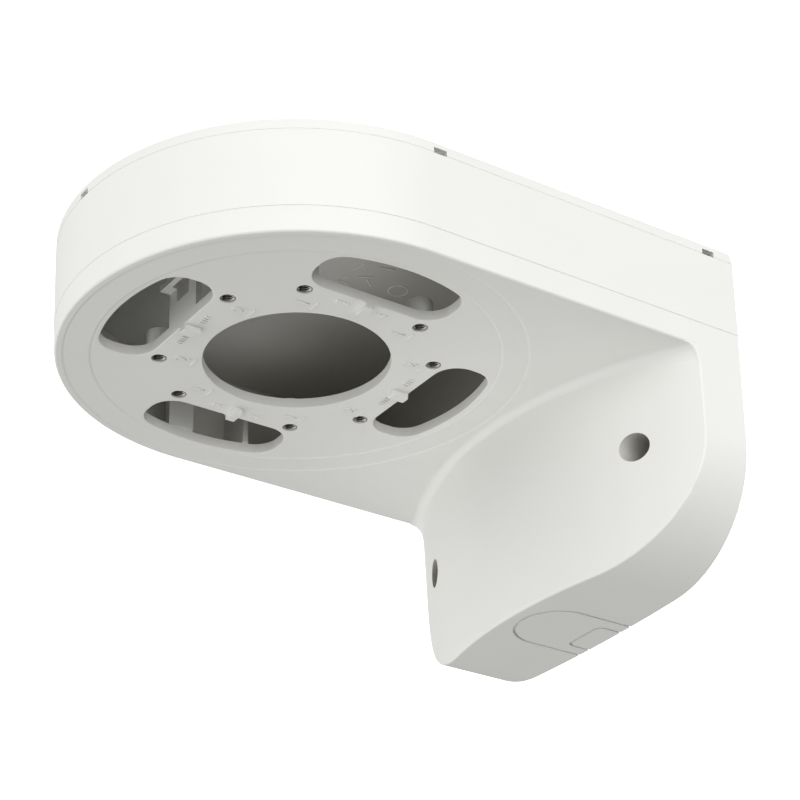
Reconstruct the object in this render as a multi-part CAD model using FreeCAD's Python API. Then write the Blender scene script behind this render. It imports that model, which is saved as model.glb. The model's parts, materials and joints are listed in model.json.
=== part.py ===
import FreeCAD, Part
import math
import os

os.makedirs("parts", exist_ok=True)

V = FreeCAD.Vector
UP = V(0, 0, 1)
OUT = V(0, -1, 0)

# Frame: the wall is the plane y = 0 and the arm reaches out along -Y.
# x = 0 is the middle. z = 0 is the height of the two wall screws. All sizes are in mm.

# Arm in plan: straight sides from the wall, closed by a half circle at the free end.
half_width = 75.3
round_centre = 115.5
seat_height = 29.0
wall = 3.35
upper_draft = 0.6
lower_inset = 0.13
lower_draft = 0.26
parting_rise = 8.3
joint_rise = 34.1
top_rise = 38.0
seat_edge_round = 0.8
cover_edge_chamfer = 0.35

# Leg that stands against the wall, below the arm.
leg_drop = 67.45
leg_narrowing = 1.07
leg_corner = 39.5
leg_bow = 800.0
leg_front_bow = 131.5
leg_depth_low = 37.3
leg_depth_high = 39.7
leg_edge_round = 0.9

# Hollow corner between the leg's front and the arm's underside.
hollow_radius_middle = 2.8
hollow_radius_side = 5.0
hollow_inset = 0.03
hollow_back = 6.0

# Wall screws: a deep access bore in front of a floor with a clearance hole.
screw_half_spacing = 53.0
access_radius = 5.0
screw_hole_radius = 2.6
screw_floor = 5.0
screw_tube_wall = 3.0

# Camera seat: a disc set in by two very low steps, with a centre hole, inserts, slots and small blocks.
centre_hole_radius = 29.1
insert_far = 37.0
insert_near = 20.6
insert_outer_radius = 2.45
insert_flats = 20
insert_bore_radius = 1.7
insert_recess = 0.5
insert_length = 7.5
boss_radius = 4.2
boss_rise = 8.7
slot_inner = 40.7
slot_outer = 61.6
slot_half_length = 24.0
slot_corner = 8.0
block_length = 6.0
block_width = 3.2
block_drop = 1.85
seat_step_margins = (12.15, 3.85)
seat_step = 0.17

# Upright features inside the arm.
hook_half_width = 8.0
hook_thickness = 2.0
hook_rise = 15.0
hook_bar_height = 1.9
hook_bar_reach = 3.5
hook_bar_thickness = 1.9
hook_window_half = 3.7
hook_window_sill = 10.3
post_near = 1.6
post_width = 9.0
post_thickness = 2.2
post_rise = 30.0
post_offset = 61.0
rib_offset_y = 17.2
rib_inner = 59.0
rib_base = 2.2
rib_tip = 1.0
rib_rise = 18.0

# Scored knock-outs in the leg's bottom, both open to the wall.
conduit_half_width = 13.5
conduit_reach = 33.0
cable_half_width = 8.5
cable_reach = 9.0
cable_corner = 3.0
score_width = 0.9
score_depth = 0.7

# Cover: a lid with a shallow plug inside the walls and small pry notches above the joint.
plug_depth = 1.1
plug_clearance = 0.15
joint_line_height = 0.3
joint_line_depth = 0.45
cover_back_lean = 1.1
notch_width = 4.6
notch_height = 2.0
notch_depth = 3.0
side_notch_reach = 113.0
wall_notch_reach = 10.0

# Heights worked out from the sizes above.
seat_z = seat_height
underside_z = seat_z - seat_step * len(seat_step_margins)
floor_z = seat_z + wall
parting_z = seat_z + parting_rise
joint_z = seat_z + joint_rise
top_z = seat_z + top_rise
leg_bottom = seat_z - leg_drop
upper_half_low = half_width - upper_draft
lower_half_top = upper_half_low - lower_inset
lower_half_bottom = lower_half_top - lower_draft
leg_half_width_low = lower_half_top - leg_narrowing
leg_lean = math.atan2(leg_depth_high - leg_depth_low, leg_drop)
centre = V(0, -round_centre, 0)


def at(z):
    return V(0, 0, z)


def outline(half, z, back=0.0):
    """Closed plan outline of the arm at height z, drawn at a given half width."""
    right_back = V(half, -back, z)
    right_front = V(half, -round_centre, z)
    tip = V(0, -round_centre - half, z)
    left_front = V(-half, -round_centre, z)
    left_back = V(-half, -back, z)
    edges = [
        Part.LineSegment(right_back, right_front).toShape(),
        Part.Arc(right_front, tip, left_front).toShape(),
        Part.LineSegment(left_front, left_back).toShape(),
        Part.LineSegment(left_back, right_back).toShape(),
    ]
    return Part.Wire(edges)


def slab(half, z_low, z_high, back=0.0):
    """Upright slab with the arm's plan outline."""
    face = Part.Face(outline(half, z_low, back))
    return face.extrude(at(z_high - z_low))


def drafted(half_low, z_low, half_high, z_high):
    """Slab whose sides lean: a cone for the round end and a wedge for the straight sides."""
    height = z_high - z_low
    end = Part.makeCone(half_low, half_high, height, V(0, -round_centre, z_low), UP)
    low = Part.makePolygon([
        V(half_low, 0, z_low),
        V(half_low, -round_centre, z_low),
        V(-half_low, -round_centre, z_low),
        V(-half_low, 0, z_low),
        V(half_low, 0, z_low),
    ])
    high = Part.makePolygon([
        V(half_high, 0, z_high),
        V(half_high, -round_centre, z_high),
        V(-half_high, -round_centre, z_high),
        V(-half_high, 0, z_high),
        V(half_high, 0, z_high),
    ])
    return end.fuse(Part.makeLoft([low, high], True, True)).removeSplitter()


def edges_near(shape, test):
    """Edges whose middle point passes the test."""
    found = []
    for edge in shape.Edges:
        if test(edge.valueAt((edge.FirstParameter + edge.LastParameter) / 2.0)):
            found.append(edge)
    return found


def leg_outline(inset, y):
    """Wall-side outline of the leg, up to the moulding line, moved in by an inset."""
    corner = leg_corner - inset
    bow = leg_bow - inset
    low_half = leg_half_width_low - inset
    top_half = lower_half_top - inset
    cx = low_half - corner
    bow_centre = leg_bottom + leg_bow
    cz = bow_centre - math.sqrt((bow - corner) ** 2 - cx ** 2)
    side_start = V(top_half, y, parting_z)
    side_end = V(low_half, y, cz)
    turn = math.atan2(cx, bow_centre - cz)
    half_turn = (math.pi / 2.0 - turn) / 2.0
    corner_mid = V(cx + corner * math.cos(half_turn), y, cz - corner * math.sin(half_turn))
    corner_end = V(cx + corner * math.sin(turn), y, cz - corner * math.cos(turn))
    bottom = V(0, y, leg_bottom + inset)

    def flip(p):
        return V(-p.x, p.y, p.z)

    edges = [
        Part.LineSegment(side_start, side_end).toShape(),
        Part.Arc(side_end, corner_mid, corner_end).toShape(),
        Part.Arc(corner_end, bottom, flip(corner_end)).toShape(),
        Part.Arc(flip(corner_end), flip(corner_mid), flip(side_end)).toShape(),
        Part.LineSegment(flip(side_end), flip(side_start)).toShape(),
        Part.LineSegment(flip(side_start), side_start).toShape(),
    ]
    return Part.Wire(edges)


def leg_depth(z):
    """Depth of the leg's front at the middle, at height z."""
    share = (z - leg_bottom) / leg_drop
    return leg_depth_low + (leg_depth_high - leg_depth_low) * share


def front_y(x, z, inset=0.0):
    """y of the leg's front face at x and z."""
    bow = leg_front_bow - inset
    axis_y = leg_front_bow / math.cos(leg_lean) - leg_depth(z)
    return axis_y - math.sqrt(bow ** 2 - x ** 2) / math.cos(leg_lean)


def front_drum(inset):
    """Upright drum, leaning a little, whose near side is the leg's bowed front."""
    z_low = leg_bottom - leg_front_bow
    height = 3.0 * leg_front_bow
    base = V(0, leg_front_bow / math.cos(leg_lean) - leg_depth(z_low), z_low)
    lean = V(0, -math.sin(leg_lean), math.cos(leg_lean))
    return Part.makeCylinder(leg_front_bow - inset, height, base, lean)


def leg_block(inset, y_back):
    """Leg volume: wall outline crossed with the bowed front."""
    prism = Part.Face(leg_outline(inset, y_back)).extrude(OUT * (leg_front_bow + y_back))
    return prism.common(front_drum(inset))


def leg_side(z):
    """Half width of the leg at height z, above its lower corners."""
    cx = leg_half_width_low - leg_corner
    low = leg_bottom + leg_bow - math.sqrt((leg_bow - leg_corner) ** 2 - cx ** 2)
    return leg_half_width_low + leg_narrowing * (z - low) / (parting_z - low)


def hollow_front(x, z, sink):
    """y of the hollow corner's face, which is a fillet that widens towards the sides."""
    share = (abs(x) / half_width) ** 3
    radius = hollow_radius_middle + (hollow_radius_side - hollow_radius_middle) * share
    down = min(1.0, max(0.0, (underside_z - z) / radius))
    return front_y(x, z) - radius * (1.0 - math.sqrt(1.0 - (1.0 - down) ** 2)) + sink


def hollow_section(z, sink):
    """One level of the hollow corner, with its outer corners rounded like the leg's."""
    half = leg_side(min(z, underside_z)) - hollow_inset
    edge = half - leg_edge_round
    root = leg_edge_round * (1.0 - math.sqrt(0.5))
    steps = 12
    points = []
    for i in range(steps + 1):
        x = -edge + 2.0 * edge * i / steps
        points.append(V(x, hollow_front(x, z, sink), z))
    front = Part.BSplineCurve()
    front.interpolate(points)
    y_front = points[-1].y
    y_round = y_front + leg_edge_round

    def corner(sign):
        start = V(sign * edge, y_front, z)
        middle = V(sign * (half - root), y_front + root, z)
        return Part.Arc(start, middle, V(sign * half, y_round, z)).toShape()

    edges = [
        front.toShape(),
        corner(1),
        Part.LineSegment(V(half, y_round, z), V(half, -hollow_back, z)).toShape(),
        Part.LineSegment(V(half, -hollow_back, z), V(-half, -hollow_back, z)).toShape(),
        Part.LineSegment(V(-half, -hollow_back, z), V(-half, y_round, z)).toShape(),
        corner(-1),
    ]
    return Part.Wire(Part.__sortEdges__(edges))


def hollow_corner():
    """Concave corner that blends the leg's front into the arm's underside."""
    wires = [hollow_section(underside_z + 0.6, 0.0)]
    levels = 6
    for i in range(levels + 1):
        turn = math.pi / 2.0 * i / levels
        z = underside_z - hollow_radius_side * (1.0 - math.cos(turn))
        wires.append(hollow_section(z, 0.04 * i / levels))
    return Part.makeLoft(wires, True, True)


def slot_plan(z_low, z_high, clear=0.0):
    """D-shaped slot on the +X side: straight inner side, outer side round the centre."""
    inner = slot_inner
    outer = slot_outer
    half = slot_half_length
    corner = slot_corner
    # The corner circles touch the outer arc from inside and the slot's ends.
    cy = half - corner
    cx_out = math.sqrt((outer - corner) ** 2 - cy ** 2)
    cx_in = inner + corner
    touch = V(cx_out, cy, 0)
    touch.normalize()
    end = V(cx_out, half, z_low)
    if cx_out < cx_in:
        cx_in = cx_out
        end = V(cx_in, half, z_low)
    angle = math.atan2(cy, cx_out)
    mid_turn = (angle + math.pi / 2.0) / 2.0
    out_touch = V(outer * math.cos(angle), outer * math.sin(angle), z_low)
    out_mid = V(cx_out + corner * math.cos(mid_turn), cy + corner * math.sin(mid_turn), z_low)
    in_end = V(cx_in, half, z_low)
    root = math.sqrt(0.5)
    in_mid = V(cx_in - corner * root, cy + corner * root, z_low)
    in_start = V(inner, cy, z_low)

    def flip(p):
        return V(p.x, -p.y, p.z)

    edges = [
        Part.Arc(flip(out_touch), V(outer, 0, z_low), out_touch).toShape(),
        Part.Arc(out_touch, out_mid, end).toShape(),
        Part.Arc(in_end, in_mid, in_start).toShape(),
        Part.LineSegment(in_start, flip(in_start)).toShape(),
        Part.Arc(flip(in_start), flip(in_mid), flip(in_end)).toShape(),
        Part.Arc(flip(end), flip(out_mid), flip(out_touch)).toShape(),
    ]
    if (end - in_end).Length > 0.001:
        edges.insert(2, Part.LineSegment(end, in_end).toShape())
        edges.append(Part.LineSegment(flip(in_end), flip(end)).toShape())
    wire = Part.Wire(Part.__sortEdges__(edges))
    return Part.Face(wire).extrude(at(z_high - z_low))


def about_centre(shape, degrees):
    """Copy of a shape drawn about the origin, turned and moved to the seat's centre."""
    copy = shape.copy()
    copy.rotate(V(0, 0, 0), UP, degrees)
    copy.translate(centre)
    return copy


def knurl(radius, z_low, z_high, where):
    """Upright prism with many flats, for the knurled outside of an insert and its hole."""
    corners = []
    for i in range(insert_flats + 1):
        turn = 2.0 * math.pi * i / insert_flats
        corners.append(V(where.x + radius * math.cos(turn), where.y + radius * math.sin(turn), z_low))
    return Part.Face(Part.makePolygon(corners)).extrude(at(z_high - z_low))


def insert_places():
    """Plan positions of the eight thread inserts."""
    places = []
    for sx in (1, -1):
        for sy in (1, -1):
            places.append(V(sx * insert_far, sy * insert_near - round_centre, 0))
            places.append(V(sx * insert_near, sy * insert_far - round_centre, 0))
    return places


def box(x0, x1, y0, y1, z0, z1):
    """Box from its two corners."""
    return Part.makeBox(x1 - x0, y1 - y0, z1 - z0, V(x0, y0, z0))


def u_plan(half, reach, corner, z_low, z_high, overrun):
    """U-shaped prism open to the wall, with its end corners rounded."""
    start = overrun
    r = min(corner, half)
    root = r * (1.0 - math.sqrt(0.5))
    a = V(half, start, z_low)
    b = V(half, -reach + r, z_low)
    b_mid = V(half - root, -reach + root, z_low)
    c = V(half - r, -reach, z_low)

    def flip(p):
        return V(-p.x, p.y, p.z)

    edges = [
        Part.LineSegment(a, b).toShape(),
        Part.Arc(b, b_mid, c).toShape(),
    ]
    if half - r > 0.001:
        edges.append(Part.LineSegment(c, flip(c)).toShape())
    edges.append(Part.Arc(flip(c), flip(b_mid), flip(b)).toShape())
    edges.append(Part.LineSegment(flip(b), flip(a)).toShape())
    edges.append(Part.LineSegment(flip(a), a).toShape())
    return Part.Face(Part.Wire(edges)).extrude(at(z_high - z_low))


def score(half, reach, corner):
    """Groove along a U-shaped line in the leg's bottom, cut from below."""
    z_low = leg_bottom - 2.0
    z_high = leg_bottom + 5.0
    outer = u_plan(half, reach, corner, z_low, z_high, 2.0)
    inner_corner = max(0.3, corner - score_width)
    inner = u_plan(half - score_width, reach - score_width, inner_corner, z_low, z_high, 3.0)
    deeper = leg_block(score_depth, 2.0)
    return outer.cut(inner).cut(deeper)


def screw_column(x, radius, y_from, y_to):
    """Cylinder along Y at a wall screw."""
    return Part.makeCylinder(radius, y_from - y_to, V(x, y_from, 0), OUT)


# Body, outside: upper arm, slightly smaller lower arm, leg and hollow corner. The arm's sides have draft.
upper_arm = drafted(upper_half_low, parting_z, half_width, joint_z)
lower_arm = drafted(lower_half_bottom, underside_z, lower_half_top, parting_z)


def seat_rim(middle):
    return abs(middle.z - underside_z) < 0.01 and middle.y < -1.0


lower_arm = lower_arm.makeFillet(seat_edge_round, edges_near(lower_arm, seat_rim))
leg = leg_block(0.0, 0.0)


def leg_rim(middle):
    on_front = abs(middle.y - front_y(middle.x, middle.z)) < 0.2
    return on_front and middle.z < parting_z - 1.0 and middle.y < -1.0


leg = leg.makeFillet(leg_edge_round, edges_near(leg, leg_rim))
outside = upper_arm.fuse([lower_arm, leg, hollow_corner()])

# Two very low steps that set the camera seat's disc into the underside.
steps = []
for i, margin in enumerate(seat_step_margins):
    step_z = seat_z - seat_step * i
    steps.append(Part.makeCylinder(half_width - margin, step_z - underside_z + 1.0,
                                   V(0, -round_centre, underside_z - 1.0), UP))
outside = outside.cut(steps)

# Body, inside: one cavity in the arm and one in the leg, both open to the wall.
arm_room = slab(half_width - wall, floor_z, joint_z + 1.0, -1.0)
leg_room = leg_block(wall, 1.0)
body = outside.cut([arm_room, leg_room])

# Body, added inside: insert bosses, screw tubes, hook panel, posts and ribs.
extras = []
for place in insert_places():
    extras.append(Part.makeCylinder(boss_radius, boss_rise - 1.0, V(place.x, place.y, seat_z + 1.0), UP))
tube_radius = access_radius + screw_tube_wall
for side in (1, -1):
    x = side * screw_half_spacing
    column = screw_column(x, tube_radius, 0.0, -leg_depth_high)
    extras.append(column.common(front_drum(1.0)))

hook_back = -round_centre - slot_inner
hook_front = hook_back - hook_bar_reach
hook_top = seat_z + hook_rise
panel = box(-hook_half_width, hook_half_width, hook_back, hook_back + hook_thickness, seat_z + 1.0, hook_top)
bar = box(-hook_half_width, hook_half_width, hook_front, hook_back + hook_thickness,
          hook_top, hook_top + hook_bar_height)
window = box(-hook_window_half, hook_window_half, hook_front + hook_bar_thickness,
             hook_back + hook_thickness + 1.0, seat_z + hook_window_sill, hook_top + hook_bar_height + 1.0)
extras.append(panel.fuse(bar).removeSplitter().cut(window))

for side in (1, -1):
    near = side * post_offset
    far = side * (post_offset + post_thickness)
    y_high = -round_centre - post_near
    y_low = y_high - post_width
    extras.append(box(min(near, far), max(near, far), y_low, y_high, floor_z - 1.0, seat_z + post_rise))
    rib_y = -round_centre + rib_offset_y
    inner_x = side * rib_inner
    outer_x = side * (half_width - wall / 2.0)
    base = [
        V(inner_x, rib_y - rib_base / 2.0, floor_z - 1.0),
        V(outer_x, rib_y - rib_base / 2.0, floor_z - 1.0),
        V(outer_x, rib_y + rib_base / 2.0, floor_z - 1.0),
        V(inner_x, rib_y + rib_base / 2.0, floor_z - 1.0),
    ]
    tip = [
        V(inner_x, rib_y - rib_tip / 2.0, seat_z + rib_rise),
        V(outer_x, rib_y - rib_tip / 2.0, seat_z + rib_rise),
        V(outer_x, rib_y + rib_tip / 2.0, seat_z + rib_rise),
        V(inner_x, rib_y + rib_tip / 2.0, seat_z + rib_rise),
    ]
    base_wire = Part.makePolygon(base + [base[0]])
    tip_wire = Part.makePolygon(tip + [tip[0]])
    extras.append(Part.makeLoft([base_wire, tip_wire], True, True))

# Small blocks that stand down from the seat at the middle of each slot's straight side.
block = box(slot_inner - block_length, slot_inner, -block_width / 2.0, block_width / 2.0,
            seat_z - block_drop, seat_z + 1.0)
for degrees in (0, 90, 180, 270):
    extras.append(about_centre(block, degrees))
body = body.fuse(extras)

# Body, cut away: centre hole, slots, insert holes, screw bores and score lines.
cuts = [Part.makeCylinder(centre_hole_radius, wall + 4.0, V(0, -round_centre, seat_z - 2.0), UP)]
slot = slot_plan(seat_z - 1.0, floor_z + 0.5)
for degrees in (0, 90, 180, 270):
    cuts.append(about_centre(slot, degrees))
for place in insert_places():
    cuts.append(knurl(insert_outer_radius, seat_z - 1.0, seat_z + boss_rise + 1.0, place))
for side in (1, -1):
    x = side * screw_half_spacing
    cuts.append(screw_column(x, access_radius, -screw_floor, -leg_depth_high - 5.0))
    cuts.append(screw_column(x, screw_hole_radius, 1.0, -leg_depth_high))
cuts.append(score(conduit_half_width, conduit_reach, conduit_half_width))
cuts.append(score(cable_half_width, cable_reach, cable_corner))
body = body.cut(cuts)

# Cover: lid, fine joint line, shallow plug, bevelled top edge and pry notches.
lid = slab(half_width, joint_z + joint_line_height, top_z)


def top_rim(middle):
    return abs(middle.z - top_z) < 0.01 and middle.y < -1.0


lid = lid.makeChamfer(cover_edge_chamfer, edges_near(lid, top_rim))
lid_low = joint_z + joint_line_height
lean_side = Part.makePolygon([
    V(-half_width - 1.0, 0, lid_low),
    V(-half_width - 1.0, 1.0, lid_low),
    V(-half_width - 1.0, 1.0, top_z),
    V(-half_width - 1.0, -cover_back_lean, top_z),
    V(-half_width - 1.0, 0, lid_low),
])
lid = lid.cut(Part.Face(lean_side).extrude(V(2.0 * half_width + 2.0, 0, 0)))
step = slab(half_width - joint_line_depth, joint_z, joint_z + joint_line_height + 0.5)
plug = slab(half_width - wall - plug_clearance, joint_z - plug_depth, joint_z + 0.5)
cover = lid.fuse([step, plug])
notch_low = joint_z - 0.5
notch_high = joint_z + notch_height
half_notch = notch_width / 2.0
reach_in = half_width - notch_depth
tip_y = -round_centre - half_width
notches = [box(-half_notch, half_notch, tip_y - 2.0, tip_y + notch_depth, notch_low, notch_high)]
for reach in (side_notch_reach, wall_notch_reach):
    y0 = -reach - half_notch
    y1 = -reach + half_notch
    notches.append(box(reach_in, half_width + 2.0, y0, y1, notch_low, notch_high))
    notches.append(box(-half_width - 2.0, -reach_in, y0, y1, notch_low, notch_high))
cover = cover.cut(notches)

# Thread inserts: eight equal bushes, a little below the seat's face.
inserts = []
for place in insert_places():
    low = seat_z + insert_recess
    bore = Part.makeCylinder(insert_bore_radius, insert_length + 2.0, V(place.x, place.y, low - 1.0), UP)
    inserts.append(knurl(insert_outer_radius, low, low + insert_length, place).cut(bore))
insert_group = Part.makeCompound(inserts)

for name, shape in (("body", body), ("top_cover", cover), ("thread_inserts", insert_group)):
    print(name, "solids", len(shape.Solids), "valid", shape.isValid(), "volume", round(shape.Volume, 1))
    shape.exportStep("parts/" + name + ".step")
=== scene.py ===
"""Looks of a white plastic camera wall bracket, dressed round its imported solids.

The shell and the cover are merged copies of their solids with softened rims, the thread
inserts are turned bushes, and small raised numbers stand beside them. The joint groove is
drawn shallower than in the solid, the steps of the seat lean back, and the screw bores are
narrower. Sizes are in metres.
"""

import json
import logging
import math
from dataclasses import dataclass, field
from enum import Enum
from typing import Callable

import bmesh
import bpy
from mathutils import Matrix, Vector


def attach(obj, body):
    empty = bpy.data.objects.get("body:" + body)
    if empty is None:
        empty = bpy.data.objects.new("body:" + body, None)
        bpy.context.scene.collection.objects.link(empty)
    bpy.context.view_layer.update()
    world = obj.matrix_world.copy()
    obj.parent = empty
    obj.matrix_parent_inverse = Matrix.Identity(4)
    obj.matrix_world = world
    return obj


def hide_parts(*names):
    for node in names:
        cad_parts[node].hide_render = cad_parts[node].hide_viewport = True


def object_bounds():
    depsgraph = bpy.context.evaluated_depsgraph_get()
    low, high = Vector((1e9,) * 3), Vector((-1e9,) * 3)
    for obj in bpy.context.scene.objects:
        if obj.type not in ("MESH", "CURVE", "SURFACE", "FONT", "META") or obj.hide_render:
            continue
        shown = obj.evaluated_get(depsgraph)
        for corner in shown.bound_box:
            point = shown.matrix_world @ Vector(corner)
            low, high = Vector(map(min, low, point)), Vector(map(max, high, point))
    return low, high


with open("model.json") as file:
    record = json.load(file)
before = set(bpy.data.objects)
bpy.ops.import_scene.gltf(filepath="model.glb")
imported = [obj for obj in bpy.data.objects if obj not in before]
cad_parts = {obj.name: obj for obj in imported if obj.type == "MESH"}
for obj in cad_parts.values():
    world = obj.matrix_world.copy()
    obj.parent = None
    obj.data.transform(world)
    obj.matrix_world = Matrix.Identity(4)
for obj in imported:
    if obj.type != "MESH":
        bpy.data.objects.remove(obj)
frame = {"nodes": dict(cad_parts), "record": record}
CAD_LOW, CAD_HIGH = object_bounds()

LOG = logging.getLogger("bracket")
MM = 0.001
# Corners nearer to each other than this are one corner.
WELD = 0.002 * MM
# Faces thinner than this are no faces.
THIN = 0.0002 * MM
# Edges that turn more than this are sharp.
SHARP = math.radians(30)
# Reach of a bar's softened edges.
BAR_EASE = 0.08 * MM
# Where the painted shade inside sets in and is full, along the arm and above the seat plate.
ARM_FADE = (-148.0 * MM, -40.0 * MM)
PLATE_FADE = (30.0 * MM, 44.0 * MM)
# A face runs along a direction below the first share of its normal, and across it above the second.
ALONG, ACROSS = 0.2, 0.8
DOWN = Vector((0.0, 0.0, -1.0))
PAINTED_SHADE = "painted_shade_side"
EdgeTest = Callable[[bmesh.types.BMEdge], bool]
FaceShare = Callable[[bmesh.types.BMFace], float]
CornerPlace = Callable[[Vector], Vector | None]


class Slot(Enum):
    """Material slots of the record."""

    SHELL = "shell_plastic"
    COVER = "cover_plastic"
    INSERT = "insert_metal"


def mount(name: str) -> dict:
    """Entry of the record for one mount.

    Args:
        name: the mount's name.

    Returns:
        The mount's dictionary.
    """
    return next(m for m in frame["record"]["mounts"] if m["name"] == name)


@dataclass(frozen=True)
class Seat:
    """Places on the camera seat, read from the record's mounts."""

    centre: Vector = field(default_factory=lambda: Vector(mount("centre_hole")["pos_m"]))
    face_z: float = field(default_factory=lambda: mount("seat_face")["pos_m"][2])
    hole_radius: float = field(default_factory=lambda: mount("centre_hole")["dims"]["r_mm"] * MM)
    far: float = field(default_factory=lambda: mount("camera_inserts_wide")["dims"]["spacing_x_mm"] * MM / 2)
    near: float = field(default_factory=lambda: mount("camera_inserts_wide")["dims"]["spacing_y_mm"] * MM / 2)
    slot_inner: float = 40.7 * MM
    slot_outer: float = 61.6 * MM

    def insert_places(self) -> list[tuple[Vector, int]]:
        """Middles of the eight inserts with the number of their screw pattern.

        Returns:
            Pairs of a point on the seat's face and 1 or 2.
        """
        places = []
        for sx in (1, -1):
            for sy in (1, -1):
                for reach_x, reach_y, pattern in ((self.far, self.near, 1), (self.near, self.far, 2)):
                    x = self.centre.x + sx * reach_x
                    y = self.centre.y + sy * reach_y
                    places.append((Vector((x, y, self.face_z)), pattern))
        return places


def clear_selection() -> None:
    """Leave nothing selected, so that the next operator acts on its own piece only."""
    for item in bpy.context.selected_objects:
        item.select_set(False)


def take(piece: bpy.types.Object) -> bpy.types.Object:
    """Make a piece the only selected and active one.

    Args:
        piece: the piece to take in hand.

    Returns:
        The same piece.
    """
    clear_selection()
    piece.select_set(True)
    bpy.context.view_layer.objects.active = piece
    return piece


def settle(piece: bpy.types.Object) -> bpy.types.Object:
    """Put a piece's place into its mesh, so that its object sits at the origin.

    Args:
        piece: the piece to settle.

    Returns:
        The same piece.
    """
    take(piece)
    bpy.ops.object.transform_apply(location=True, rotation=True, scale=True)
    return piece


def weld(piece: bpy.types.Object) -> bpy.types.Object:
    """Merge corners that share a place and drop the faces that this closes up.

    Args:
        piece: the piece to work on.

    Returns:
        The same piece.
    """
    take(piece)
    bpy.ops.object.mode_set(mode="EDIT")
    bpy.ops.mesh.select_all(action="SELECT")
    bpy.ops.mesh.remove_doubles(threshold=WELD)
    bpy.ops.mesh.dissolve_degenerate(threshold=THIN)
    bpy.ops.mesh.select_all(action="DESELECT")
    bpy.ops.object.mode_set(mode="OBJECT")
    return piece


def merged_copy(node: str, name: str) -> bpy.types.Object:
    """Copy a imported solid's mesh and join its loose triangles.

    Args:
        node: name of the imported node.
        name: name of the new piece.

    Returns:
        The new piece, with shared corners.
    """
    piece = bpy.data.objects.new(name, frame["nodes"][node].data.copy())
    bpy.context.scene.collection.objects.link(piece)
    piece.data.name = name
    take(piece)
    bpy.ops.mesh.customdata_custom_splitnormals_clear()
    return weld(piece)


def soften(piece: bpy.types.Object, width: float, segments: int, chosen: EdgeTest) -> int:
    """Round the sharp edges that a test picks.

    Args:
        piece: the piece to work on.
        width: how far the rounding reaches from the edge.
        segments: steps of the rounding.
        chosen: tells whether a sharp edge is rounded.

    Returns:
        The number of edges that were rounded.
    """
    take(piece)
    bpy.ops.object.mode_set(mode="EDIT")
    bpy.ops.mesh.select_mode(type="EDGE")
    bpy.ops.mesh.select_all(action="DESELECT")
    mesh = bmesh.from_edit_mesh(piece.data)
    count = 0
    for edge in mesh.edges:
        if len(edge.link_faces) == 2 and edge.calc_face_angle() > SHARP and chosen(edge):
            edge.select = True
            count += 1
    bmesh.update_edit_mesh(piece.data)
    if count:
        bpy.ops.mesh.bevel(offset=width, segments=segments, profile=0.5, affect="EDGES", clamp_overlap=False)
    bpy.ops.mesh.select_all(action="DESELECT")
    bpy.ops.object.mode_set(mode="OBJECT")
    return count


def opened(piece: bpy.types.Object) -> bmesh.types.BMesh:
    """Open a piece's mesh for changes of its corners, edges or faces.

    Args:
        piece: the piece to work on.

    Returns:
        The open mesh, which closed() puts back.
    """
    mesh = bmesh.new()
    mesh.from_mesh(piece.data)
    return mesh


def closed(mesh: bmesh.types.BMesh, piece: bpy.types.Object) -> None:
    """Put an open mesh back into its piece."""
    mesh.to_mesh(piece.data)
    mesh.free()


def move_corners(piece: bpy.types.Object, place: CornerPlace) -> int:
    """Move chosen corners a little way.

    Args:
        piece: the piece to work on.
        place: gives a corner's new place, or None where it stays.

    Returns:
        The number of corners that were moved.
    """
    mesh = opened(piece)
    moved = 0
    for corner in mesh.verts:
        target = place(corner.co)
        if target is not None:
            corner.co = target
            moved += 1
    closed(mesh, piece)
    return moved


def keep_sharp(piece: bpy.types.Object, chosen: EdgeTest) -> None:
    """Mark the edges that a test picks, so that smooth shading stops at them.

    Args:
        piece: the piece to work on.
        chosen: tells whether an edge stays sharp.
    """
    mesh = opened(piece)
    for edge in mesh.edges:
        if chosen(edge):
            edge.smooth = False
    closed(mesh, piece)


def mark_inner(piece: bpy.types.Object, share: FaceShare) -> None:
    """Note on each face how far it takes the painted shade of the moulding's inner side.

    Args:
        piece: the piece to work on.
        share: gives 0 for an outer face, 1 for an inner one and more than 1 in a deep bore.
    """
    mesh = opened(piece)
    layer = mesh.faces.layers.float.new(PAINTED_SHADE)
    for face in mesh.faces:
        face[layer] = share(face)
    closed(mesh, piece)


def smooth(piece: bpy.types.Object, degrees: float = 30.0) -> None:
    """Shade a piece smooth up to an angle, with flat faces kept flat.

    Args:
        piece: the piece to shade.
        degrees: edges sharper than this stay sharp.
    """
    take(piece)
    bpy.ops.object.shade_smooth_by_angle(angle=math.radians(degrees))
    weighted = piece.modifiers.new("flat_faces_lead", "WEIGHTED_NORMAL")
    weighted.keep_sharp = True
    bpy.ops.object.modifier_apply(modifier=weighted.name)


def raised_bar(size: tuple[float, float, float], sink: float) -> bpy.types.Object:
    """Model one small bar with softened edges, standing down from the origin.

    Args:
        size: its length, width and rise.
        sink: how far it reaches into the face that carries it.

    Returns:
        The bar, of which copies are placed.
    """
    clear_selection()
    middle = DOWN * ((size[2] - sink) / 2)
    bpy.ops.mesh.primitive_cube_add(size=1.0, location=middle)
    bar = bpy.context.active_object
    bar.scale = (size[0], size[1], size[2] + sink)
    settle(bar)
    bpy.ops.object.mode_set(mode="EDIT")
    bpy.ops.mesh.select_all(action="SELECT")
    bpy.ops.mesh.bevel(offset=BAR_EASE, segments=1, affect="EDGES", clamp_overlap=True)
    bpy.ops.object.mode_set(mode="OBJECT")
    return bar


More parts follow.
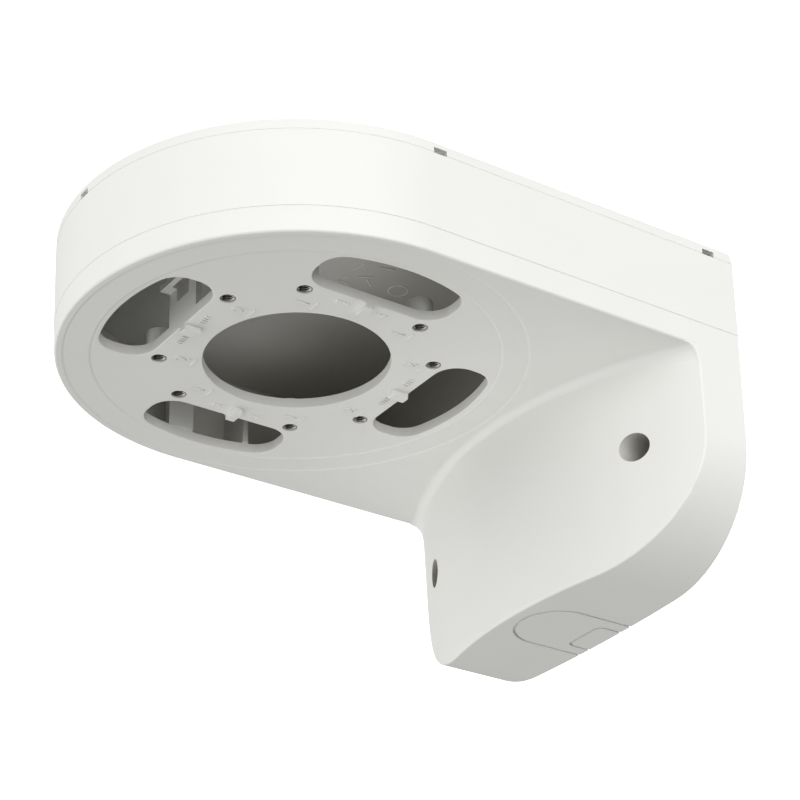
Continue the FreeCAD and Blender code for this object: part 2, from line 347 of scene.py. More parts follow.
def placed_copy(piece: bpy.types.Object, name: str, spot: Vector, turn: float = 0.0) -> bpy.types.Object:
    """Copy a piece with its own mesh and put the copy's place into that mesh.

    Args:
        piece: the piece to copy.
        name: name of the copy.
        spot: how far the copy is moved.
        turn: its angle round the vertical through the origin, in radians, before the move.

    Returns:
        The copy.
    """
    mesh = piece.data.copy()
    mesh.transform(Matrix.Translation(spot) @ Matrix.Rotation(turn, 4, "Z"))
    copy = bpy.data.objects.new(name, mesh)
    bpy.context.scene.collection.objects.link(copy)
    return copy


def remove(pieces: list[bpy.types.Object]) -> None:
    """Take away the patterns that copies were made from."""
    for piece in pieces:
        bpy.data.objects.remove(piece)


def joined(parts: list[bpy.types.Object], name: str) -> bpy.types.Object:
    """Join small parts to one piece.

    Args:
        parts: the parts, of which the first one stays.
        name: name of the joined piece.

    Returns:
        The joined piece.
    """
    take(parts[0])
    for other in parts[1:]:
        other.select_set(True)
    bpy.ops.object.join()
    piece = bpy.context.active_object
    piece.name = name
    piece.data.name = name
    return piece


def edge_middle(edge: bmesh.types.BMEdge) -> Vector:
    """Middle point of an edge."""
    return (edge.verts[0].co + edge.verts[1].co) / 2


def turned(name: str, profile: list[tuple[float, float]], steps: int, where: Vector) -> bpy.types.Object:
    """Model a round piece from a circle by extruding and resizing its rim.

    Args:
        name: name of the new piece.
        profile: closed list of (radius, height), anticlockwise seen with the axis on the left.
        steps: corners of the circle.
        where: point of the axis at height zero.

    Returns:
        The closed piece with its place in its mesh.
    """
    clear_selection()
    radius, height = profile[0]
    start = where + Vector((0.0, 0.0, height))
    bpy.ops.mesh.primitive_circle_add(vertices=steps, radius=radius, fill_type="NOTHING", location=start)
    piece = bpy.context.active_object
    piece.name = name
    piece.data.name = name
    settle(piece)
    bpy.ops.object.mode_set(mode="EDIT")
    bpy.ops.mesh.select_mode(type="EDGE")
    bpy.ops.mesh.select_all(action="SELECT")
    for next_radius, next_height in profile[1:] + profile[:1]:
        rise = (0.0, 0.0, next_height - height)
        bpy.ops.mesh.extrude_edges_move(TRANSFORM_OT_translate={"value": rise})
        share = next_radius / radius
        middle = where + Vector((0.0, 0.0, next_height))
        bpy.ops.transform.resize(value=(share, share, 1.0), center_override=middle)
        radius, height = next_radius, next_height
    bpy.ops.mesh.select_all(action="SELECT")
    bpy.ops.mesh.remove_doubles(threshold=WELD)
    bpy.ops.mesh.normals_make_consistent(inside=False)
    bpy.ops.object.mode_set(mode="OBJECT")
    return piece


class NodeKit:
    """Small helper that adds and wires shader nodes in one tree."""

    def __init__(self, tree: bpy.types.NodeTree) -> None:
        """Keep the tree to work on."""
        self.tree = tree

    def add(self, kind: str, **values: object) -> bpy.types.Node:
        """Add a node and set its plain properties.

        Args:
            kind: the node's type name.
            values: properties by name.

        Returns:
            The new node.
        """
        node = self.tree.nodes.new(kind)
        for name, value in values.items():
            setattr(node, name, value)
        return node

    def wire(self, source: bpy.types.NodeSocket, target: bpy.types.NodeSocket) -> None:
        """Join two sockets."""
        self.tree.links.new(source, target)


def open_group(name: str, given: dict[str, str], results: tuple[str, ...]) -> NodeKit:
    """Start a node group with its sockets.

    Args:
        name: the group's name.
        given: kinds of the sockets that come in, by name.
        results: names of the values that go out.
    """
    tree = bpy.data.node_groups.new(name, "ShaderNodeTree")
    for socket, kind in given.items():
        tree.interface.new_socket(socket, in_out="INPUT", socket_type=kind)
    for socket in results:
        tree.interface.new_socket(socket, in_out="OUTPUT", socket_type="NodeSocketFloat")
    return NodeKit(tree)


def moulded_skin() -> bpy.types.NodeTree:
    """Node group of the fine skin that both finishes have, built once.

    Returns:
        A group with the fine grain's height, a slow tone and a slow roughness.
    """
    name = "moulded_skin"
    if name in bpy.data.node_groups:
        return bpy.data.node_groups[name]
    sockets = {
        "Place": "NodeSocketVector",
        "Grain per metre": "NodeSocketFloat",
        "Flow per metre": "NodeSocketFloat",
    }
    kit = open_group(name, sockets, ("Height", "Tone", "Sheen patch"))
    given = kit.add("NodeGroupInput")
    result = kit.add("NodeGroupOutput")
    grain = kit.add("ShaderNodeTexNoise", noise_dimensions="3D")
    grain.inputs["Detail"].default_value = 2.0
    grain.inputs["Roughness"].default_value = 0.6
    kit.wire(given.outputs["Place"], grain.inputs["Vector"])
    kit.wire(given.outputs["Grain per metre"], grain.inputs["Scale"])
    kit.wire(grain.outputs["Fac"], result.inputs["Height"])
    flow = kit.add("ShaderNodeTexNoise", noise_dimensions="3D")
    flow.inputs["Detail"].default_value = 3.0
    flow.inputs["Roughness"].default_value = 0.5
    kit.wire(given.outputs["Place"], flow.inputs["Vector"])
    kit.wire(given.outputs["Flow per metre"], flow.inputs["Scale"])
    kit.wire(flow.outputs["Fac"], result.inputs["Tone"])
    # The sheen follows the flow over the middle half of its range.
    patch = kit.add("ShaderNodeMath", operation="MULTIPLY_ADD")
    patch.inputs[1].default_value = 0.5
    patch.inputs[2].default_value = 0.25
    kit.wire(flow.outputs["Fac"], patch.inputs[0])
    kit.wire(patch.outputs["Value"], result.inputs["Sheen patch"])
    return kit.tree


def inner_shade() -> bpy.types.NodeTree:
    """Node group that masks where a darker base colour stands in for missing shade, built once.

    Returns:
        A group whose mask grows along the arm to the wall end and is strong in a deep bore.
    """
    name = "inner_shade"
    if name in bpy.data.node_groups:
        return bpy.data.node_groups[name]
    kit = open_group(name, {"Place": "NodeSocketVector", "Inner": "NodeSocketFloat"}, ("Mask",))
    given = kit.add("NodeGroupInput")
    result = kit.add("NodeGroupOutput")
    axes = kit.add("ShaderNodeSeparateXYZ")
    kit.wire(given.outputs["Place"], axes.inputs["Vector"])
    mask = given.outputs["Inner"]
    for axis, (start, end) in (("Y", ARM_FADE), ("Z", PLATE_FADE)):
        ramp = kit.add("ShaderNodeMapRange", interpolation_type="SMOOTHSTEP")
        ramp.inputs["From Min"].default_value = start
        ramp.inputs["From Max"].default_value = end
        kit.wire(axes.outputs[axis], ramp.inputs["Value"])
        both = kit.add("ShaderNodeMath", operation="MULTIPLY")
        kit.wire(mask, both.inputs[0])
        kit.wire(ramp.outputs["Result"], both.inputs[1])
        mask = both.outputs["Value"]
    # What a face's share has above 1 is the mask's own value in a screw bore.
    bore = kit.add("ShaderNodeMath", operation="SUBTRACT")
    bore.inputs[1].default_value = 1.0
    kit.wire(given.outputs["Inner"], bore.inputs[0])
    most = kit.add("ShaderNodeMath", operation="MAXIMUM", use_clamp=True)
    kit.wire(mask, most.inputs[0])
    kit.wire(bore.outputs["Value"], most.inputs[1])
    kit.wire(most.outputs["Value"], result.inputs["Mask"])
    return kit.tree


@dataclass(frozen=True)
class GrainedFinish:
    """What both finishes share: two close tones, a slow change of sheen and a fine grain."""

    name: str
    light: tuple[float, float, float]
    deep: tuple[float, float, float]
    rough_low: float
    rough_high: float
    grain_per_metre: float
    flow_per_metre: float
    grain_height: float
    grain_strength: float

    def make(self) -> bpy.types.Material:
        """Build the material.

        Returns:
            The node material.
        """
        material = bpy.data.materials.new(self.name)
        material.use_nodes = True
        kit = NodeKit(material.node_tree)
        shader = material.node_tree.nodes["Principled BSDF"]
        place = kit.add("ShaderNodeTexCoord").outputs["Object"]
        skin = kit.add("ShaderNodeGroup", node_tree=moulded_skin())
        skin.inputs["Grain per metre"].default_value = self.grain_per_metre
        skin.inputs["Flow per metre"].default_value = self.flow_per_metre
        kit.wire(place, skin.inputs["Place"])
        tone = kit.add("ShaderNodeMix", data_type="RGBA")
        tone.inputs[6].default_value = (*self.deep, 1.0)
        tone.inputs[7].default_value = (*self.light, 1.0)
        kit.wire(skin.outputs["Tone"], tone.inputs["Factor"])
        kit.wire(self.base(kit, shader, place, tone.outputs[2]), shader.inputs["Base Color"])
        rough = kit.add("ShaderNodeMapRange")
        rough.inputs["To Min"].default_value = self.rough_low
        rough.inputs["To Max"].default_value = self.rough_high
        kit.wire(skin.outputs["Sheen patch"], rough.inputs["Value"])
        kit.wire(rough.outputs["Result"], shader.inputs["Roughness"])
        bump = kit.add("ShaderNodeBump")
        bump.inputs["Strength"].default_value = self.grain_strength
        bump.inputs["Distance"].default_value = self.grain_height
        kit.wire(skin.outputs["Height"], bump.inputs["Height"])
        kit.wire(bump.outputs["Normal"], shader.inputs["Normal"])
        return material

    def base(
        self,
        kit: NodeKit,
        shader: bpy.types.Node,
        place: bpy.types.NodeSocket,
        tone: bpy.types.NodeSocket,
    ) -> bpy.types.NodeSocket:
        """Set what is special to the finish and say where its base colour comes from.

        Args:
            kit: adds nodes to the material.
            shader: the material's shader.
            place: the Object coordinates.
            tone: the colour between the two tones.

        Returns:
            The socket that gives the base colour.
        """
        raise NotImplementedError


@dataclass(frozen=True)
class PlasticFinish(GrainedFinish):
    """Fine matte finish of white moulded plastic.

    Inside the arm and in the screw bores the base colour is darker. That isn't a property of
    the plastic: it stands in for shade that the studio light leaves out.
    """

    light: tuple[float, float, float] = (0.793, 0.790, 0.768)
    deep: tuple[float, float, float] = (0.763, 0.761, 0.738)
    # Painted shade: the darker base colour inside the arm, under the lid and in the screw bores.
    inner: tuple[float, float, float] = (0.475, 0.462, 0.424)
    rough_low: float = 0.44
    rough_high: float = 0.56
    grain_per_metre: float = 3600.0
    flow_per_metre: float = 28.0
    grain_height: float = 0.010 * MM
    grain_strength: float = 0.35
    refraction: float = 1.49
    gloss: float = 0.45

    def base(
        self,
        kit: NodeKit,
        shader: bpy.types.Node,
        place: bpy.types.NodeSocket,
        tone: bpy.types.NodeSocket,
    ) -> bpy.types.NodeSocket:
        """Set the plastic's gloss and paint shade into its tone inside the arm and the bores.

        Args:
            kit: adds nodes to the material.
            shader: the material's shader.
            place: the Object coordinates.
            tone: the colour between the two tones.

        Returns:
            The socket that gives the base colour.
        """
        shader.inputs["IOR"].default_value = self.refraction
        shader.inputs["Specular IOR Level"].default_value = self.gloss
        side = kit.add("ShaderNodeAttribute", attribute_name=PAINTED_SHADE)
        shade = kit.add("ShaderNodeGroup", node_tree=inner_shade())
        kit.wire(place, shade.inputs["Place"])
        kit.wire(side.outputs["Fac"], shade.inputs["Inner"])
        # Painted shade: the mask mixes the tone towards the darker colour.
        shaded = kit.add("ShaderNodeMix", data_type="RGBA")
        shaded.inputs[7].default_value = (*self.inner, 1.0)
        kit.wire(tone, shaded.inputs[6])
        kit.wire(shade.outputs["Mask"], shaded.inputs["Factor"])
        return shaded.outputs[2]


@dataclass(frozen=True)
class MetalFinish(GrainedFinish):
    """Turned and plated metal of the thread inserts."""

    light: tuple[float, float, float] = (0.46, 0.45, 0.43)
    deep: tuple[float, float, float] = (0.26, 0.25, 0.23)
    rough_low: float = 0.14
    rough_high: float = 0.30
    grain_per_metre: float = 5200.0
    flow_per_metre: float = 900.0
    grain_height: float = 0.006 * MM
    grain_strength: float = 0.5

    def base(
        self,
        kit: NodeKit,
        shader: bpy.types.Node,
        place: bpy.types.NodeSocket,
        tone: bpy.types.NodeSocket,
    ) -> bpy.types.NodeSocket:
        """Make the shader metallic, with the two tones as they are."""
        shader.inputs["Metallic"].default_value = 1.0
        return tone


class Finishes:
    """The materials of the bracket, one for each slot."""

    def __init__(self) -> None:
        """Make every material once."""
        self.by_slot = {
            Slot.SHELL: PlasticFinish(Slot.SHELL.value).make(),
            Slot.COVER: PlasticFinish(Slot.COVER.value).make(),
            Slot.INSERT: MetalFinish(Slot.INSERT.value).make(),
        }

    def dress(self, piece: bpy.types.Object, slot: Slot) -> None:
        """Give a piece the material of a slot.

        Args:
            piece: the piece to dress.
            slot: the slot of the record.
        """
        piece.data.materials.clear()
        piece.data.materials.append(self.by_slot[slot])


def finished(piece: bpy.types.Object, *nodes: str) -> bpy.types.Object:
    """Let a piece ride on the bracket's body, stand for its nodes, and be reported.

    Args:
        piece: the finished piece.
        nodes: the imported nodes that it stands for.

    Returns:
        The same piece.
    """
    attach(piece, "root")
    if nodes:
        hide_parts(*nodes)
    LOG.info("%s: %d corners, %d faces", piece.name, len(piece.data.vertices), len(piece.data.polygons))
    return piece


@dataclass
class Shell:
    """The moulded body, with softened rims and blocks.

    The fields whose names start with on_ say how far an edge, a corner or a face may lie off
    its named place and still belong to it.
    """

    seat: Seat
    half_width: float = 75.3 * MM
    plate_top: float = 32.3 * MM
    screw_x: float = field(default_factory=lambda: mount("wall_screws")["dims"]["spacing_x_mm"] * MM / 2)
    bore_radius: float = 5.0 * MM
    bore_drawn: float = 4.7 * MM
    rim_round: float = 0.40 * MM
    block_round: float = 0.45 * MM
    step_radii: tuple[float, float] = (63.15 * MM, 71.45 * MM)
    step_rise: float = 0.17 * MM
    step_slope: float = 0.70 * MM
    bore_front: float = 3.0 * MM
    bore_floor: float = 10.0 * MM
    bore_share: float = 1.7
    arm_wall: float = 2.0 * MM
    wall_rim: float = 0.2 * MM
    insert_clear: float = 3.0 * MM
    block_half: float = 2.2 * MM
    block_top: float = 0.3 * MM
    block_foot: float = 3.0 * MM
    block_reach: float = 1.0 * MM
    on_place: float = 0.02 * MM
    on_circle: float = 0.05 * MM
    on_curve: float = 0.1 * MM
    on_hole: float = 0.3 * MM
    on_block_end: float = 0.5 * MM

    def build(self, finishes: Finishes) -> bpy.types.Object:
        """Make the shell from its solid.

        Args:
            finishes: the materials.

        Returns:
            The finished shell.
        """
        piece = merged_copy("body", "bracket_shell")
        LOG.info("seat rims softened: %d", soften(piece, self.rim_round, 2, self.is_seat_rim))
        LOG.info("blocks softened: %d", soften(piece, self.block_round, 2, self.is_block))
        weld(piece)
        LOG.info("step corners laid back: %d", move_corners(piece, self.laid_back))
        LOG.info("bore corners drawn in: %d", move_corners(piece, self.drawn_in))
        keep_sharp(piece, self.is_step)
        # Painted shade: faces inside the arm and in the screw bores get the darker base colour.
        mark_inner(piece, self.inner_share)
        smooth(piece)
        finishes.dress(piece, Slot.SHELL)
        return finished(piece, "body")

    def is_seat_rim(self, edge: bmesh.types.BMEdge) -> bool:
        """Whether an edge is on the rim of the centre hole or of a slot, in the seat's face.

        Args:
            edge: the edge to judge.

        Returns:
            True for such an edge.
        """
        middle = edge_middle(edge)
        flat = all(abs(v.co.z - self.seat.face_z) < self.on_place for v in edge.verts)
        reach = (middle - self.seat.centre).to_2d().length
        at_hole = abs(reach - self.seat.hole_radius) < self.on_hole
        at_slot = self.seat.slot_inner - self.on_curve < reach < self.seat.slot_outer + self.on_curve
        return flat and (at_hole or (at_slot and not self.by_insert(middle) and not self.by_block(middle)))

    def laid_back(self, corner: Vector) -> Vector | None:
        """Place of a corner on a seat step's lower side, moved out to give the step a slope.

        Args:
            corner: the corner's place.

        Returns:
            The new place, or None for every other corner.
        """
        off = corner - self.seat.centre
        reach = off.to_2d().length
        for count, radius in enumerate(self.step_radii, start=1):
            level = self.seat.face_z - count * self.step_rise
            if abs(reach - radius) < self.on_circle and abs(corner.z - level) < self.on_place:
                out = off.to_2d() * ((radius + self.step_slope) / reach)
                return Vector((self.seat.centre.x + out.x, self.seat.centre.y + out.y, corner.z))
        return None

    def drawn_in(self, corner: Vector) -> Vector | None:
        """Place of a corner on a screw bore's wall, drawn in as far as the screwdriver's room allows.

        Args:
            corner: the corner's place.

        Returns:
            The new place, or None for every other corner.
        """
        axis_x = math.copysign(self.screw_x, corner.x)
        reach = Vector((corner.x - axis_x, corner.z)).length
        if abs(reach - self.bore_radius) > self.on_place or corner.y > -self.bore_front:
            return None
        share = self.bore_drawn / reach
        return Vector((axis_x + (corner.x - axis_x) * share, corner.y, corner.z * share))

    def is_step(self, edge: bmesh.types.BMEdge) -> bool:
        """Whether an edge runs round one of the seat's low steps, on its upper or lower side.

        Args:
            edge: the edge to judge.

        Returns:
            True for such an edge.
        """
        first, last = ((v.co - self.seat.centre).to_2d().length for v in edge.verts)
        level = abs(edge.verts[0].co.z - edge.verts[1].co.z) < self.on_place
        low = edge_middle(edge).z < self.seat.face_z + self.on_place
        rims = [radius + out for radius in self.step_radii for out in (0.0, self.step_slope)]
        return level and low and any(max(abs(first - r), abs(last - r)) < self.on_circle for r in rims)

    def inner_share(self, face: bmesh.types.BMFace) -> float:
        """How far a face belongs to the inner side: 1 inside the arm, more in a screw bore, or 0.

        Args:
            face: the face to judge.

        Returns:
            The share, which the finish turns into painted shade, a darker base colour.
        """
        middle = face.calc_center_median()
        if self.in_bore(middle, face.normal):
            return self.bore_share
        off = middle - self.seat.centre
        reach = off.to_2d().length if off.y < 0 else abs(off.x)
        in_arm = middle.z > self.plate_top and reach < self.half_width - self.arm_wall
        return 1.0 if in_arm and middle.y < -self.wall_rim else 0.0

    def in_bore(self, middle: Vector, normal: Vector) -> bool:
        """Whether a face is the wall or the floor of a screw bore, seen from the front.

        Args:
            middle: the face's middle.
            normal: the face's direction.

        Returns:
            True for such a face.
        """
        reach = Vector((abs(middle.x) - self.screw_x, middle.z)).length
        is_wall = abs(normal.y) < ALONG
        is_floor = normal.y < -ACROSS and middle.y > -self.bore_floor
        near = reach < self.bore_radius + self.on_curve and middle.y < -self.bore_front
        return near and (is_wall or is_floor)

    def by_insert(self, point: Vector) -> bool:
        """Whether a point is beside an insert hole."""
        places = self.seat.insert_places()
        return any((point - place).to_2d().length < self.insert_clear for place, _ in places)

    def by_block(self, point: Vector) -> bool:
        """Whether a point is at one of the small blocks' ends in the slots.

        Args:
            point: the point to judge.

        Returns:
            True for such a point.
        """
        off = point - self.seat.centre
        along, across = max(abs(off.x), abs(off.y)), min(abs(off.x), abs(off.y))
        return across < self.block_half and abs(along - self.seat.slot_inner) < self.on_block_end

    def is_block(self, edge: bmesh.types.BMEdge) -> bool:
        """Whether an edge is on a small block below the seat's face.

        Args:
            edge: the edge to judge.

        Returns:
            True for such an edge.
        """
        middle = edge_middle(edge)
        off = middle - self.seat.centre
        along = max(abs(off.x), abs(off.y))
        below = self.seat.face_z - middle.z
        return self.block_top < below < self.block_foot and along < self.seat.slot_inner + self.block_reach


@dataclass
class Cover:
    """The lid on top of the arm, with a rounded upper edge and small moulded marks inside."""

    seat: Seat
    edge_round: float = 0.25 * MM
    groove_reach: float = 74.85 * MM
    groove_top: float = 63.45 * MM
    groove_shift: float = 0.36 * MM
    mark_radius: float = 3.4 * MM
    mark_width: float = 0.5 * MM
    mark_rise: float = 0.15 * MM
    mark_x: float = 7.4 * MM
    mark_y: float = -81.9 * MM
    bar_size: tuple[float, float, float] = (5.0 * MM, 0.6 * MM, 0.2 * MM)
    bar_sink: float = 0.05 * MM
    bars: tuple[tuple[float, float, float], ...] = (
        (4.0, -101.1, 10.0),
        (2.6, -99.5, 100.0),
        (9.2, -95.1, 55.0),
        (6.6, -92.6, 130.0),
        (12.8, -100.5, 20.0),
        (16.6, -92.3, 75.0),
    )
    under_z: float = 62.0 * MM
    under_part: float = 0.5 * MM
    ring_steps: int = 48
    shade_to: float = 40.0
    wall_rim: float = 1.0 * MM
    on_place: float = 0.02 * MM

    def build(self, finishes: Finishes) -> bpy.types.Object:
        """Make the cover from its solid and add the marks that its mould leaves inside.

        Args:
            finishes: the materials.

        Returns:
            The finished cover.
        """
        piece = merged_copy("top_cover", "top_cover_lid")
        LOG.info("joint corners brought out: %d", move_corners(piece, self.brought_out))
        LOG.info("cover edges softened: %d", soften(piece, self.edge_round, 3, self.is_top_edge))
        # Painted shade: the lid's underside gets the darker base colour.
        mark_inner(piece, lambda face: float(face.calc_center_median().z < self.under_z + self.under_part))
        smooth(piece, self.shade_to)
        finishes.dress(piece, Slot.COVER)
        self.ring(finishes)
        self.code(finishes)
        return finished(piece, "top_cover")

    def brought_out(self, corner: Vector) -> Vector | None:
        """Place of a corner on the joint groove's floor, brought out to leave a fine line.

        Args:
            corner: the corner's place.

        Returns:
            The new place, or None for every other corner.
        """
        off = (corner - self.seat.centre).to_2d()
        off.y = min(off.y, 0.0)
        if abs(off.length - self.groove_reach) > self.on_place or corner.z > self.groove_top:
            return None
        out = off.normalized() * self.groove_shift
        return corner + Vector((out.x, out.y, 0.0))

    def is_top_edge(self, edge: bmesh.types.BMEdge) -> bool:
        """Whether an edge is on the upper side of the bevel round the lid."""
        on_top = all(abs(v.co.z - CAD_HIGH.z) < self.on_place for v in edge.verts)
        return on_top and edge_middle(edge).y < -self.wall_rim

    def ring(self, finishes: Finishes) -> bpy.types.Object:
        """Model the thin ring on the lid's underside.

        Args:
            finishes: the materials.

        Returns:
            The finished ring.
        """
        outer, inner = self.mark_radius, self.mark_radius - self.mark_width
        ease = self.mark_rise / 2
        profile = [
            (inner, ease),
            (inner, -self.mark_rise + ease),
            (inner + ease, -self.mark_rise),
            (outer - ease, -self.mark_rise),
            (outer, -self.mark_rise + ease),
            (outer, ease),
        ]
        where = Vector((self.mark_x, self.mark_y, self.under_z))
        ring = turned("mould_pin_ring", profile, self.ring_steps, where)
        smooth(ring, self.shade_to)
        finishes.dress(ring, Slot.COVER)
        return finished(ring)

    def code(self, finishes: Finishes) -> bpy.types.Object:
        """Model the few thin bars beside the ring.

        Args:
            finishes: the materials.

        Returns:
            The joined bars.
        """
        pattern = raised_bar(self.bar_size, self.bar_sink)
        bars = []
        for x, y, degrees in self.bars:
            spot = Vector((x * MM, y * MM, self.under_z))
            bars.append(placed_copy(pattern, "lid_bar", spot, math.radians(degrees)))
        remove([pattern])
        piece = joined(bars, "lid_marks")
        finishes.dress(piece, Slot.COVER)
        return finished(piece)


@dataclass
class ThreadInsert:
    """A turned metal bush with a chamfered mouth and thread grooves."""

    outer: float = 2.40 * MM
    crest: float = 1.70 * MM
    root: float = 2.02 * MM
    length: float = 7.5 * MM
    recess: float = 0.5 * MM
    lead: float = 0.35 * MM
    pitch: float = 0.7 * MM
    mouth: float = 0.12 * MM
    chamfer: float = 0.15 * MM
    crest_end: float = 0.12
    root_start: float = 0.50
    root_end: float = 0.62
    steps: int = 40
    shade_to: float = 35.0

    def profile(self) -> list[tuple[float, float]]:
        """Closed section of the bush, from the mouth's chamfer up the thread and down outside.

        Returns:
            Pairs of radius and height above the bush's lower face.
        """
        points = [(self.root + self.mouth, 0.0)]
        height = self.lead
        while height + self.pitch < self.length - self.lead:
            points.append((self.crest, height))
            points.append((self.crest, height + self.crest_end * self.pitch))
            points.append((self.root, height + self.root_start * self.pitch))
            points.append((self.root, height + self.root_end * self.pitch))
            height += self.pitch
        points.append((self.crest, height))
        points.append((self.crest, self.length))
        points.append((self.outer, self.length))
        points.append((self.outer, self.chamfer))
        points.append((self.outer - self.chamfer, 0.0))
        return points

    def build(self, seat: Seat, finishes: Finishes) -> list[bpy.types.Object]:
        """Model one bush and set its copies in all eight holes.

        Args:
            seat: places of the holes.
            finishes: the materials.

        Returns:
            The eight bushes.
        """
        places = seat.insert_places()
        lift = Vector((0.0, 0.0, self.recess))
        first = turned("thread_insert_1", self.profile(), self.steps, places[0][0] + lift)
        smooth(first, self.shade_to)
        finishes.dress(first, Slot.INSERT)
        bushes = [first]
        for number, (place, _) in enumerate(places[1:], start=2):
            copy = placed_copy(first, f"thread_insert_{number}", place - places[0][0])
            bushes.append(copy)
        for bush in bushes:
            finished(bush, "thread_inserts")
        return bushes


@dataclass
class SeatMarks:
    """Small raised marks on the seat: a number and a bar by each insert, and ticks by each block."""

    height: float = 6.6 * MM
    rise: float = 0.36 * MM
    sink: float = 0.05 * MM
    inward: float = 7.2 * MM
    bar_gap: float = 3.9 * MM
    bar_size: tuple[float, float] = (4.4 * MM, 0.55 * MM)
    tick_size: tuple[float, float] = (1.9 * MM, 0.55 * MM)
    tick_places: tuple[float, ...] = tuple(p * MM for p in (-9.2, -8.0, -6.8, -5.4, 4.6, 5.9, 7.1, 8.3))
    tick_reach: float = 36.6 * MM
    figure_ease: float = 0.06 * MM
    figure_thin: float = 0.03 * MM

    def build(self, seat: Seat, finishes: Finishes) -> bpy.types.Object:
        """Model the marks and join them to one thin piece on the seat.

        Args:
            seat: places of the inserts.
            finishes: the materials.

        Returns:
            The joined marks.
        """
        line = raised_bar((*self.bar_size, self.rise), self.sink)
        tick = raised_bar((*self.tick_size, self.rise), self.sink)
        figures = {pattern: self.figure(str(pattern)) for pattern in (1, 2)}
        marks = []
        for place, pattern in seat.insert_places():
            towards = (seat.centre - place).to_2d().normalized()
            spot = place + Vector((towards.x, towards.y, 0.0)) * self.inward
            marks.append(placed_copy(figures[pattern], "figure", spot))
            marks.append(placed_copy(line, "line", spot + Vector((0.0, self.bar_gap, 0.0))))
        for quarter in range(4):
            angle = quarter * math.pi / 2
            turn = Matrix.Rotation(angle, 3, "Z")
            for along in self.tick_places:
                spot = seat.centre + turn @ Vector((self.tick_reach, along, 0.0))
                spot.z = seat.face_z
                marks.append(placed_copy(tick, "tick", spot, angle))
        remove([line, tick, *figures.values()])
        piece = joined(marks, "seat_marks")
        finishes.dress(piece, Slot.SHELL)
        return finished(piece)

    def figure(self, text: str) -> bpy.types.Object:
        """Model one raised figure at the origin, to be read from below.

        Args:
            text: the figure.

        Returns:
            The figure as a mesh, of which copies are placed.
        """
        clear_selection()
        bpy.ops.object.text_add(location=DOWN * ((self.rise - self.sink) / 2))
        letter = bpy.context.active_object
        letter.data.body = text
        letter.data.size = self.height
        letter.data.align_x = "CENTER"
        letter.data.align_y = "CENTER"
        letter.data.extrude = (self.rise + self.sink) / 2 - self.figure_ease
        letter.data.bevel_depth = self.figure_ease
        letter.data.bevel_resolution = 0
        letter.data.offset = -self.figure_thin
        letter.data.resolution_u = 3
        letter.rotation_euler = (math.pi, 0.0, 0.0)
        bpy.ops.object.convert(target="MESH")
        return settle(bpy.context.active_object)


@dataclass(frozen=True)
class Glow:
    """A large soft patch of light in the studio's surround."""

    towards: tuple[float, float, float]
    strength: float
    tightness: float = 4.0


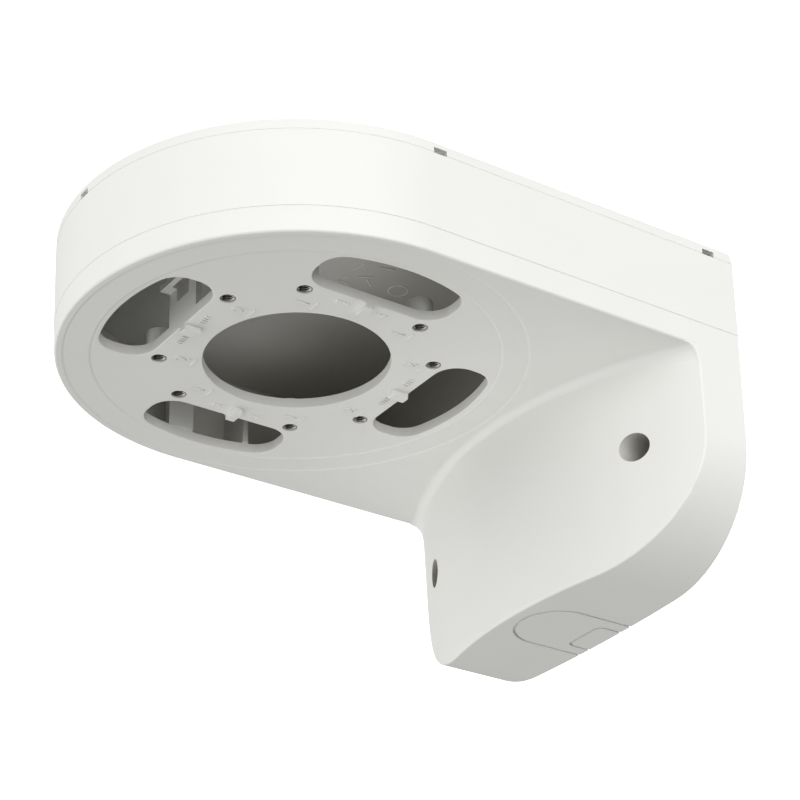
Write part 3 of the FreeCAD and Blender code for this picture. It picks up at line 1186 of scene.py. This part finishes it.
@dataclass
class Studio:
    """Camera, soft light and a plain pale floor far below the bracket."""

    azimuth: float = 54.95
    elevation: float = -29.2
    roll: float = -1.5
    distance: float = 0.7759
    lens: float = 110.0
    sensor: float = 36.0
    near: float = 0.01
    target: Vector = field(default_factory=lambda: Vector((-0.00268, -0.07517, 0.02879)))
    floor_z: float = -1.25
    floor_half: float = 9.0
    floor_tone: tuple[float, float, float] = (0.60, 0.60, 0.59)
    floor_rough: float = 0.9
    glows: tuple[Glow, ...] = (
        Glow((1.0, 0.0, 0.0), 2.15, 8.0),
        Glow((1.0, -1.0, 0.0), 0.71),
        Glow((1.0, -1.0, 1.0), 0.36),
        Glow((-1.0, -1.0, 0.0), 0.50),
        Glow((-1.0, -1.0, 1.0), 0.60),
        Glow((-1.0, -1.0, -1.0), 0.68),
        Glow((-1.0, 0.0, -1.0), 0.56),
        Glow((0.0, 0.0, -1.0), 0.25),
        Glow((1.0, 0.0, -1.0), 0.10),
        Glow((0.0, 0.0, 1.0), 0.60),
        Glow((0.0, 1.0, 1.0), 0.42, 8.0),
        Glow((1.0, 1.0, 1.0), 0.42, 8.0),
        Glow((-1.0, 1.0, 1.0), 0.42, 8.0),
    )

    def build(self) -> None:
        """Set the camera, the light, the floor and the colour handling."""
        self.camera()
        self.floor()
        self.surround()
        view = bpy.context.scene.view_settings
        view.view_transform = "Standard"
        view.look = "High Contrast"

    def camera(self) -> None:
        """Place the camera at the photograph's viewing angle."""
        turn, tilt, roll = (math.radians(a) for a in (self.azimuth, self.elevation, self.roll))
        back = Vector((math.sin(turn) * math.cos(tilt), -math.cos(turn) * math.cos(tilt), math.sin(tilt)))
        side = back.cross(DOWN).normalized()
        up = back.cross(side)
        right = side * math.cos(roll) + up * math.sin(roll)
        top = up * math.cos(roll) - side * math.sin(roll)
        data = bpy.data.cameras.new("camera")
        data.lens = self.lens
        data.sensor_width = self.sensor
        data.clip_start = self.near
        camera = bpy.data.objects.new("camera", data)
        bpy.context.scene.collection.objects.link(camera)
        place = self.target + back * self.distance
        camera.matrix_world = Matrix.Translation(place) @ Matrix((right, top, back)).transposed().to_4x4()
        bpy.context.scene.camera = camera

    def floor(self) -> None:
        """Lay the pale floor, which takes no part in the bracket's light."""
        clear_selection()
        bpy.ops.mesh.primitive_plane_add(size=2 * self.floor_half, location=(0.0, 0.0, self.floor_z))
        floor = bpy.context.active_object
        floor.name = "studio_floor"
        settle(floor)
        floor.visible_diffuse = False
        floor.visible_glossy = False
        floor.visible_shadow = False
        material = bpy.data.materials.new("studio_floor")
        material.use_nodes = True
        shader = material.node_tree.nodes["Principled BSDF"]
        shader.inputs["Base Color"].default_value = (*self.floor_tone, 1.0)
        shader.inputs["Roughness"].default_value = self.floor_rough
        floor.data.materials.append(material)

    def surround(self) -> None:
        """Light the studio with soft patches all round, on a white ground."""
        world = bpy.data.worlds.new("studio_light")
        bpy.context.scene.world = world
        world.use_nodes = True
        kit = NodeKit(world.node_tree)
        ground = world.node_tree.nodes["Background"]
        place = kit.add("ShaderNodeTexCoord")
        total = None
        for glow in self.glows:
            facing = kit.add("ShaderNodeVectorMath", operation="DOT_PRODUCT")
            facing.inputs[1].default_value = Vector(glow.towards).normalized()
            kit.wire(place.outputs["Generated"], facing.inputs[0])
            front = kit.add("ShaderNodeMath", operation="MAXIMUM")
            front.inputs[1].default_value = 0.0
            kit.wire(facing.outputs["Value"], front.inputs[0])
            patch = kit.add("ShaderNodeMath", operation="POWER")
            patch.inputs[1].default_value = glow.tightness
            kit.wire(front.outputs["Value"], patch.inputs[0])
            share = kit.add("ShaderNodeMath", operation="MULTIPLY_ADD")
            share.inputs[1].default_value = glow.strength
            share.inputs[2].default_value = 0.0
            kit.wire(patch.outputs["Value"], share.inputs[0])
            if total is not None:
                kit.wire(total, share.inputs[2])
            total = share.outputs["Value"]
        path = kit.add("ShaderNodeLightPath")
        seen = kit.add("ShaderNodeMix", data_type="FLOAT")
        seen.inputs[3].default_value = 1.0
        kit.wire(path.outputs["Is Camera Ray"], seen.inputs["Factor"])
        kit.wire(total, seen.inputs[2])
        ground.inputs["Color"].default_value = (1.0, 1.0, 1.0, 1.0)
        kit.wire(seen.outputs[0], ground.inputs["Strength"])


def main() -> None:
    """Build the bracket's pieces and the studio, in order."""
    logging.basicConfig(level=logging.INFO, format="%(name)s: %(message)s")
    seat = Seat()
    finishes = Finishes()
    Shell(seat).build(finishes)
    Cover(seat).build(finishes)
    ThreadInsert().build(seat, finishes)
    SeatMarks().build(seat, finishes)
    Studio().build()


if __name__ == "__main__":
    main()
